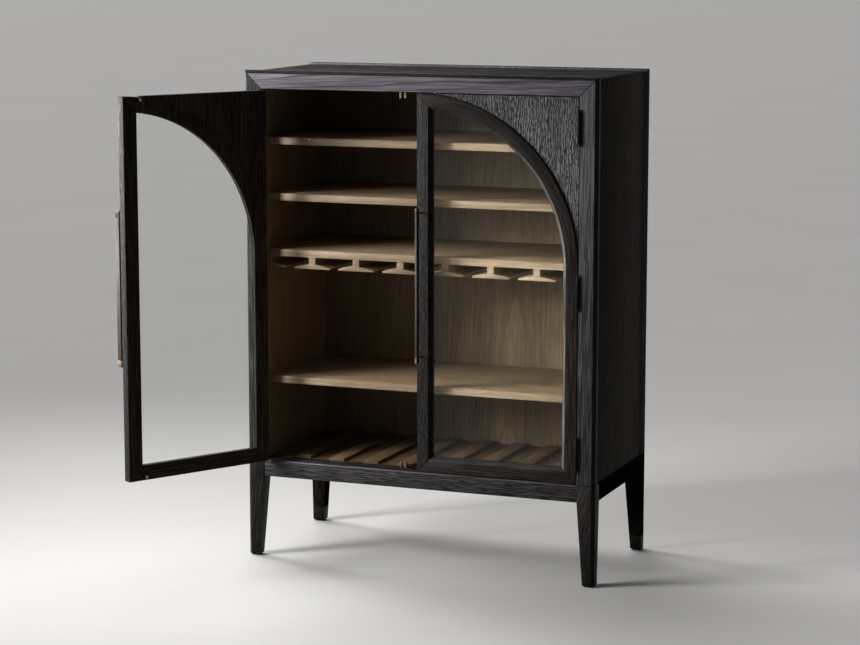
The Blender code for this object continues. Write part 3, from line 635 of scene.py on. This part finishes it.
# Foot caps, with softer edges than the boards
footCap = {"rounding": 0.0012}
for end in ("front", "rear"):
    for hand in ("left", "right"):
        node = f"{end}_{hand}_foot_cap"
        cap = closedCopy(node, node + "_bronze", capBronze)
        roundEdges(cap, footCap["rounding"])
        hang(cap, "cabinet", "cap_bronze", node)
print("base: 4 foot caps")


# Doors
doorMembers = {
    "door_meeting_stile": ("z", (0.050, 0.080), (0.012, 0.010), stileOak),
    "door_bottom_rail": ("x", (0.070, 0.030), (0.020, 0.010), memberOak),
    "door_arched_stile": ("z", (0.060, 0.070), (0.012, 0.010), memberOak),
    "door_spandrel_panel": ("z", (0.160, 0.120), (0.020, 0.010), spandrelOak),
}
bevelFinish = {"door_meeting_stile": edgeShadeOak, "door_bottom_rail": bevelOak, "door_arched_stile": archBevelLightShadeOak}
doorShape = {"archCuts": 36, "backDepth": 0.002, "firstLog": 30, "logsApart": 5}
meetingLow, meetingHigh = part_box("right_door_meeting_stile")
archLow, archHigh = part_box("right_door_arched_stile")
caseMiddle = (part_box("front_top_rail")[0].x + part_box("front_top_rail")[1].x) / 2
archRadius = archHigh.x - meetingLow.x
innerFace = meetingHigh.y - doorShape["backDepth"]
springLine = meetingHigh.z - archRadius


def cutAcrossArch(piece, freeEdge, side):
    # Radial cuts keep the faces short, so that the grain can follow the bend
    editWhole(piece)
    for i in range(doorShape["archCuts"] + 1):
        angle = math.pi / 2 * i / doorShape["archCuts"]
        bpy.ops.mesh.select_all(action="SELECT")
        bpy.ops.mesh.bisect(plane_co=(freeEdge, 0.0, springLine),
                            plane_no=(-side * math.sin(angle), 0.0, math.cos(angle)))
    leaveEdit()


def measureFromArch(piece, freeEdge, side):
    # Out and up from the middle of the arch, in arch radii
    values = []
    for vertex in piece.data.vertices:
        values += [side * (vertex.co.x - freeEdge) / archRadius, 0.0, (vertex.co.z - springLine) / archRadius]
    fromArch = piece.data.attributes.new("fromArch", "FLOAT_VECTOR", "POINT")
    fromArch.data.foreach_set("vector", values)


for hand, side in (("left", -1), ("right", 1)):
    body = hand + "_door"
    freeEdge = caseMiddle + side * (meetingLow.x - caseMiddle)

    def straighten(point):
        # A point of the bent stile, as it lay before bending
        out, up = side * (point.x - freeEdge), point.z - springLine
        if up <= 0 or point.y > innerFace:
            return point.copy()
        angle = math.atan2(up, out)
        return Vector((freeEdge + side * math.hypot(out, up), point.y, springLine + angle * archRadius))

    for number, (member, (along, pith, lean, material)) in enumerate(doorMembers.items()):
        node = f"{hand}_{member}"
        piece = closedCopy(node, node + "_oak", material)
        bent = member == "door_arched_stile"
        if bent:
            cutAcrossArch(piece, freeEdge, side)
        roundEdges(piece, boardRounding)
        logNumber = number + doorShape["firstLog"] + doorShape["logsApart"] * side
        sawFromLog(piece, along, pith, lean, logNumber, straighten if bent else None)
        paintFaces(piece, doorBackOak, lambda face: face.normal.y > straight)
        # the arch's bevel is painted as highlight and shade, and the meeting stile's chamfer is painted dark
        # as shade
        if member in bevelFinish:
            paintFaces(piece, bevelFinish[member], isChamfer)
        if member in ("door_arched_stile", "door_spandrel_panel"):
            measureFromArch(piece, freeEdge, side)
        if not bent:
            paintFaces(piece, seamOak, lambda face: isSeam(face, along))
        hang(piece, body, "dark_oak", node)
    glass = nodes[f"{hand}_door_glass"]
    glass.data.materials.clear()
    glass.data.materials.append(clearGlass)
    glass.visible_shadow = False
print("doors: 2, with", len(doorMembers), "members each")

# Metal fittings: the strikes and the catches have dark plates
fittingShape = {"leafRounding": 0.0002, "rounding": 0.0003, "strikePlate": 0.0026, "catchPlate": 0.0023}
strikeFace = meetingHigh.y + fittingShape["strikePlate"]
for hand in ("left", "right"):
    for level in ("upper", "middle", "lower"):
        for kind, body in (("frame", "cabinet"), ("door", hand + "_door")):
            node = f"{hand}_{level}_hinge_{kind}_leaf"
            leaf = closedCopy(node, node + "_bronze", hingeBronze)
            roundEdges(leaf, fittingShape["leafRounding"], 1)
            hang(leaf, body, "hinge_bronze", node)
    for level in ("upper", "lower"):
        node = f"{hand}_door_{level}_strike"
        strike = closedCopy(node, node + "_copper", catchCopper)
        roundEdges(strike, fittingShape["rounding"])
        paintFaces(strike, hingeBronze, lambda face: face.center.y < strikeFace)
        hang(strike, hand + "_door", "catch_copper", node)
# the lower catch takes a darker copy of the copper, as painted shade
for level, finish in (("upper", catchCopper), ("lower", catchShadeBronze)):
    node = level + "_catch"
    catch = closedCopy(node, node + "_copper", finish)
    roundEdges(catch, fittingShape["rounding"])
    catchLow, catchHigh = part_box(node)
    mount = catchHigh.z if level == "upper" else catchLow.z
    paintFaces(catch, hingeBronze, lambda face: abs(face.center.z - mount) < fittingShape["catchPlate"])
    hang(catch, "cabinet", "catch_copper", node)
print("fittings: hinges, strikes and catches")

# Handles: a softened bar with a copper sleeve at each end, on two posts with rosettes. The front and the side
# beside the free edge of the door keep the paler bronze; the other sides and the posts are painted dark as
# shade.
handleShape = {
    "rounding": 0.0013, "barDepth": 0.018, "sleeve": 0.020, "groove": 0.0012, "grooveDepth": 0.0006,
    "postRadius": 0.0026, "postInset": 0.015, "postSink": 0.002, "postRounding": 0.0005,
    "rosette": 0.0015, "rosetteThickness": 0.0020, "sideTilt": 0.5,
}


def selectFaces(piece, chosen):
    # Picks faces for the next step in edit mode
    leaveEdit()
    for face in piece.data.polygons:
        face.select = chosen(face)
    bpy.ops.object.mode_set(mode="EDIT")


def startEdit(piece):
    editWhole(piece)
    bpy.ops.mesh.select_mode(type="FACE")


def makeHandle(low, high, shape):
    middle = (low + high) / 2
    length = high.z - low.z
    barBack = low.y + shape["barDepth"]
    bpy.ops.mesh.primitive_cube_add(size=1.0, location=(middle.x, (low.y + barBack) / 2, middle.z),
                                    scale=(high.x - low.x, shape["barDepth"], length))
    bar = bpy.context.object
    bpy.ops.object.transform_apply(location=True, rotation=True, scale=True)
    bar.data.materials.append(handleBronze)
    roundEdges(bar, shape["rounding"], 3)
    startEdit(bar)
    inner = length / 2 - shape["sleeve"]
    outer = inner + shape["groove"]
    for cut in (-outer, -inner, inner, outer):
        bpy.ops.mesh.select_all(action="SELECT")
        bpy.ops.mesh.bisect(plane_co=(0.0, 0.0, middle.z + cut), plane_no=(0.0, 0.0, 1.0))
    selectFaces(bar, lambda face: inner < abs(face.center.z - middle.z) < outer)
    bpy.ops.mesh.extrude_region_shrink_fatten(TRANSFORM_OT_shrink_fatten={"value": -shape["grooveDepth"]})
    leaveEdit()
    paintFaces(bar, sleeveCopper, lambda face: abs(face.center.z - middle.z) > outer)
    # painted shade: the sides that face +X or the door go dark
    paintFaces(bar, handleShadeBronze, lambda face: max(face.normal.x, face.normal.y) > shape["sideTilt"])

    posts = []
    for up in (-1, 1):
        start, end = barBack - shape["postSink"], high.y
        bpy.ops.mesh.primitive_cylinder_add(
            vertices=32, radius=shape["postRadius"], depth=end - start, rotation=(math.pi / 2, 0.0, 0.0),
            location=(middle.x, (start + end) / 2, middle.z + up * (length / 2 - shape["postInset"])))
        post = bpy.context.object
        bpy.ops.object.transform_apply(location=True, rotation=True, scale=True)
        # the posts are painted dark as shade
        post.data.materials.append(handleShadeBronze)
        startEdit(post)
        collar = end - shape["rosetteThickness"]
        bpy.ops.mesh.bisect(plane_co=(0.0, collar, 0.0), plane_no=(0.0, 1.0, 0.0))
        selectFaces(post, lambda face: face.center.y > collar and abs(face.normal.y) < shape["sideTilt"])
        bpy.ops.mesh.extrude_region_shrink_fatten(TRANSFORM_OT_shrink_fatten={"value": shape["rosette"]})
        leaveEdit()
        roundEdges(post, shape["postRounding"])
        posts.append(post)
    pickOnly(bar)
    for post in posts:
        post.select_set(True)
    bpy.ops.object.join()
    return bar


handleLow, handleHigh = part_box("right_door_handle")
rightHandle = makeHandle(handleLow, handleHigh, handleShape)
leftHandle = bpy.data.objects.new("left_door_handle_bronze", rightHandle.data.copy())
bpy.context.collection.objects.link(leftHandle)
mirrored = Matrix.Scale(-1.0, 4, (1.0, 0.0, 0.0))
leftHandle.data.transform(Matrix.Translation((2 * caseMiddle, 0.0, 0.0)) @ mirrored)
leftHandle.data.flip_normals()
rightHandle.name = "right_door_handle_bronze"
hang(rightHandle, "right_door", "handle_bronze", "right_door_handle")
hang(leftHandle, "left_door", "handle_bronze", "left_door_handle")
print("handles: 2, with sleeves and rosettes")

# Screws: one slotted head, copied to the hinges, the strikes, the catches and the back
screwShape = {
    "radius": 0.0024, "height": 0.0012, "dome": 0.0003, "rim": 0.3, "proud": 0.00012,
    "slotWidth": 0.0007, "slotDepth": 0.0006, "turn": 2.4,  # each slot is turned on from the last one
    "hingeHeights": (-0.030, 0.0, 0.030), "leafInset": 0.0065, "leafGap": 0.0002, "plate": 0.002,
    "catchOffsets": (-0.068, -0.030, 0.030, 0.068), "strikeOffsets": (-0.010, 0.010),
    "backColumns": 4, "backRows": 6, "backInset": 0.018,
}


def makeScrew(shape):
    bpy.ops.mesh.primitive_cylinder_add(vertices=24, radius=shape["radius"], depth=shape["height"])
    head = bpy.context.object
    startEdit(head)
    selectFaces(head, lambda face: face.normal.z > straight)
    bpy.ops.mesh.inset(thickness=shape["radius"] * shape["rim"])
    bpy.ops.transform.translate(value=(0.0, 0.0, shape["dome"]))
    leaveEdit()
    top = shape["height"] / 2 + shape["dome"]
    bpy.ops.mesh.primitive_cube_add(size=1.0, location=(0.0, 0.0, top),
                                    scale=(3 * shape["radius"], shape["slotWidth"], 2 * shape["slotDepth"]))
    cutter = bpy.context.object
    slot = head.modifiers.new("slot", "BOOLEAN")
    slot.object = cutter
    slot.operation = "DIFFERENCE"
    pickOnly(head)
    bpy.ops.object.modifier_apply(modifier=slot.name)
    bpy.ops.object.shade_smooth_by_angle(angle=smoothAngle)
    bpy.data.objects.remove(cutter)
    head.data.transform(Matrix.Translation((0.0, 0.0, shape["proud"] - top)))
    return head


def driveScrews(name, places, body, slot):
    heads = []
    for number, (place, facing) in enumerate(places):
        head = bpy.data.objects.new(name, screwHead.data.copy())
        bpy.context.collection.objects.link(head)
        lay = Vector(facing).to_track_quat("Z", "Y").to_matrix().to_4x4()
        turn = Matrix.Rotation(screwShape["turn"] * number, 4, "Z")
        head.data.transform(Matrix.Translation(place) @ lay @ turn)
        heads.append(head)
    pickOnly(heads[0])
    for head in heads:
        head.select_set(True)
    bpy.ops.object.join()
    heads[0].data.materials.append(hingeBronze)
    hang(heads[0], body, slot)
    return len(places)


screwHead = makeScrew(screwShape)
screwCount = 0
frameScrews = []
catchScrews = []
for joint in frame["joints"]:
    door = joint["child"]
    side = 1 if door == "right_door" else -1
    hingeX = joint["pos_m"][0]
    doorScrews = []
    for level in ("upper", "middle", "lower"):
        leafLow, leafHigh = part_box(f"right_{level}_hinge_frame_leaf")
        for up in screwShape["hingeHeights"]:
            y, z = leafHigh.y - screwShape["leafInset"], (leafLow.z + leafHigh.z) / 2 + up
            frameScrews.append(((hingeX + side * screwShape["leafGap"], y, z), (-side, 0, 0)))
            doorScrews.append(((hingeX - side * screwShape["leafGap"], y, z), (side, 0, 0)))
    screwCount += driveScrews(door + "_hinge_screws", doorScrews, door, "hinge_bronze")
    strikeScrews = []
    for level in ("upper", "lower"):
        strikeLow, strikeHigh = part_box(f"right_door_{level}_strike")
        middle = (strikeLow + strikeHigh) / 2
        for offset in screwShape["strikeOffsets"]:
            x = caseMiddle + side * (middle.x - caseMiddle) + offset
            strikeScrews.append(((x, strikeLow.y + screwShape["plate"], middle.z), (0, 1, 0)))
    screwCount += driveScrews(door + "_strike_screws", strikeScrews, door, "catch_copper")
screwCount += driveScrews("frame_hinge_screws", frameScrews, "cabinet", "hinge_bronze")
for level, up in (("upper", -1), ("lower", 1)):
    catchLow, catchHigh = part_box(level + "_catch")
    z = catchHigh.z - screwShape["plate"] if up < 0 else catchLow.z + screwShape["plate"]
    for x in screwShape["catchOffsets"]:
        catchScrews.append(((caseMiddle + x, (catchLow.y + catchHigh.y) / 2, z), (0, 0, up)))
screwCount += driveScrews("catch_screws", catchScrews, "cabinet", "catch_copper")

# The back is screwed on all round, inside the rear frame
backLow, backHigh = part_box("back_panel")
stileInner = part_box("right_front_stile")[0].x - screwShape["backInset"]
backBottom = backLow.z + screwShape["backInset"]
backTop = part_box("front_top_rail")[0].z - screwShape["backInset"]
backScrews = []
for row in range(screwShape["backRows"]):
    z = backBottom + (backTop - backBottom) * row / (screwShape["backRows"] - 1)
    for column in range(screwShape["backColumns"]):
        across = 2 * column / (screwShape["backColumns"] - 1) - 1
        if abs(across) == 1 or row in (0, screwShape["backRows"] - 1):
            x = caseMiddle + across * (stileInner - caseMiddle)
            backScrews.append(((x, backHigh.y, z), (0, 1, 0)))
screwCount += driveScrews("back_screws", backScrews, "cabinet", "hinge_bronze")
bpy.data.objects.remove(screwHead)
print("screws:", screwCount)

# Floor: pale to the eye, and darker in what it throws back up
floorLook = {
    "size": 400.0, "colour": (0.64, 0.63, 0.615), "patch": (0.62, 0.61, 0.595), "bounce": (0.14, 0.137, 0.13),
    "clouds": 1.1, "roughness": 0.7, "gloss": 0.2,
}


def seenRays(tree):
    rays = addNode(tree, "LightPath").outputs
    seen = calculate(tree, "MAXIMUM", rays["Is Camera Ray"], rays["Is Glossy Ray"])
    return calculate(tree, "MAXIMUM", seen, rays["Is Transmission Ray"])


def makeFloor(look):
    material, tree, surface = newMaterial("paleFloor")
    place = addNode(tree, "TexCoord").outputs["Object"]
    feeds = {"Vector": place, "Scale": look["clouds"], "Detail": 4.0}
    cloud = addNode(tree, "TexNoise", feeds).outputs["Fac"]
    colour = mixColour(tree, soften(tree, cloud, *noiseSpread), look["colour"], look["patch"])
    colour = mixColour(tree, seenRays(tree), look["bounce"], colour)
    tree.links.new(colour, surface.inputs["Base Color"])
    surface.inputs["Roughness"].default_value = look["roughness"]
    surface.inputs["Specular IOR Level"].default_value = look["gloss"]
    bpy.ops.mesh.primitive_plane_add(size=look["size"], location=(0.0, 0.0, 0.0))
    floor = bpy.context.object
    floor.name = "paleFloor"
    floor.data.materials.append(material)


makeFloor(floorLook)

# Light: a key box near the left door, a low sun beside it, another box and sun from behind, and a weak sky
lightLook = {
    "suns": {
        "backSun": {"power": 1.6, "angle": 40.0, "from": (-0.45, 0.40, 0.80)},
        "lowSun": {"power": 0.9, "angle": 6.0, "from": (-0.73, -0.68, 0.22)},
    },
    "boxes": {
        "keyBox": {
            "place": (-1.95, -1.48, 1.50), "aim": (0.1, 0.0, 0.95), "size": 0.8,
            "power": 33.0, "spread": 110.0,
        },
        "sideBox": {
            "place": (-4.2, 1.6, 1.6), "aim": (0.2, 0.0, 0.9), "size": 1.4,
            "power": 22.0, "spread": 60.0,
        },
    },
    "sky": 0.10, "skyPale": (0.85, 0.84, 0.83), "skyDim": (0.20, 0.196, 0.192),
    "skyFrom": (-1.0, 0.05, 0.25), "skyRange": (-0.9, 0.9),
}


def makeLight(look):
    for name, sun in look["suns"].items():
        bpy.ops.object.light_add(type="SUN")
        lamp = bpy.context.object
        lamp.name = name
        lamp.data.energy = sun["power"]
        lamp.data.angle = math.radians(sun["angle"])
        lamp.rotation_euler = Vector(sun["from"]).to_track_quat("Z", "Y").to_euler()
    for name, box in look["boxes"].items():
        bpy.ops.object.light_add(type="AREA", location=box["place"])
        lamp = bpy.context.object
        lamp.name = name
        lamp.data.size = box["size"]
        lamp.data.energy = box["power"]
        lamp.data.spread = math.radians(box["spread"])
        away = Vector(box["place"]) - Vector(box["aim"])
        lamp.rotation_euler = away.to_track_quat("Z", "Y").to_euler()
        lamp.visible_camera = False
        lamp.visible_transmission = False
    world = bpy.data.worlds.new("paleSky")
    bpy.context.scene.world = world
    world.use_nodes = True
    tree = world.node_tree
    sky = tree.nodes["Background"]
    direction = addNode(tree, "TexCoord").outputs["Generated"]
    toward = Vector(look["skyFrom"]).normalized()
    facing = addNode(tree, "VectorMath", {0: direction, 1: toward}, operation="DOT_PRODUCT").outputs["Value"]
    colour = mixColour(tree, soften(tree, facing, *look["skyRange"]), look["skyDim"], look["skyPale"])
    tree.links.new(colour, sky.inputs["Color"])
    strength = soften(tree, seenRays(tree), 0.0, 1.0, look["sky"], 1.0)
    tree.links.new(strength, sky.inputs["Strength"])


makeLight(lightLook)

# Camera at the photograph's angle, for an image of 860 by 645
cameraLook = {
    "place": (2.63571, -6.38058, 1.774), "yaw": 0.37383, "pitch": -0.15439,
    "focal": 2487.7, "width": 860,  # pixels of the image
    "sensor": 36.0, "farthest": 200.0,
}


def makeCamera(look):
    turn = (math.pi / 2 + look["pitch"], 0.0, look["yaw"])
    bpy.ops.object.camera_add(location=look["place"], rotation=turn)
    camera = bpy.context.object
    camera.name = "photoCamera"
    camera.data.sensor_width = look["sensor"]
    camera.data.lens = look["focal"] / look["width"] * camera.data.sensor_width
    camera.data.clip_end = look["farthest"]
    bpy.context.scene.camera = camera


makeCamera(cameraLook)
bpy.context.scene.view_settings.view_transform = "Standard"
print("stage: floor, light and camera")
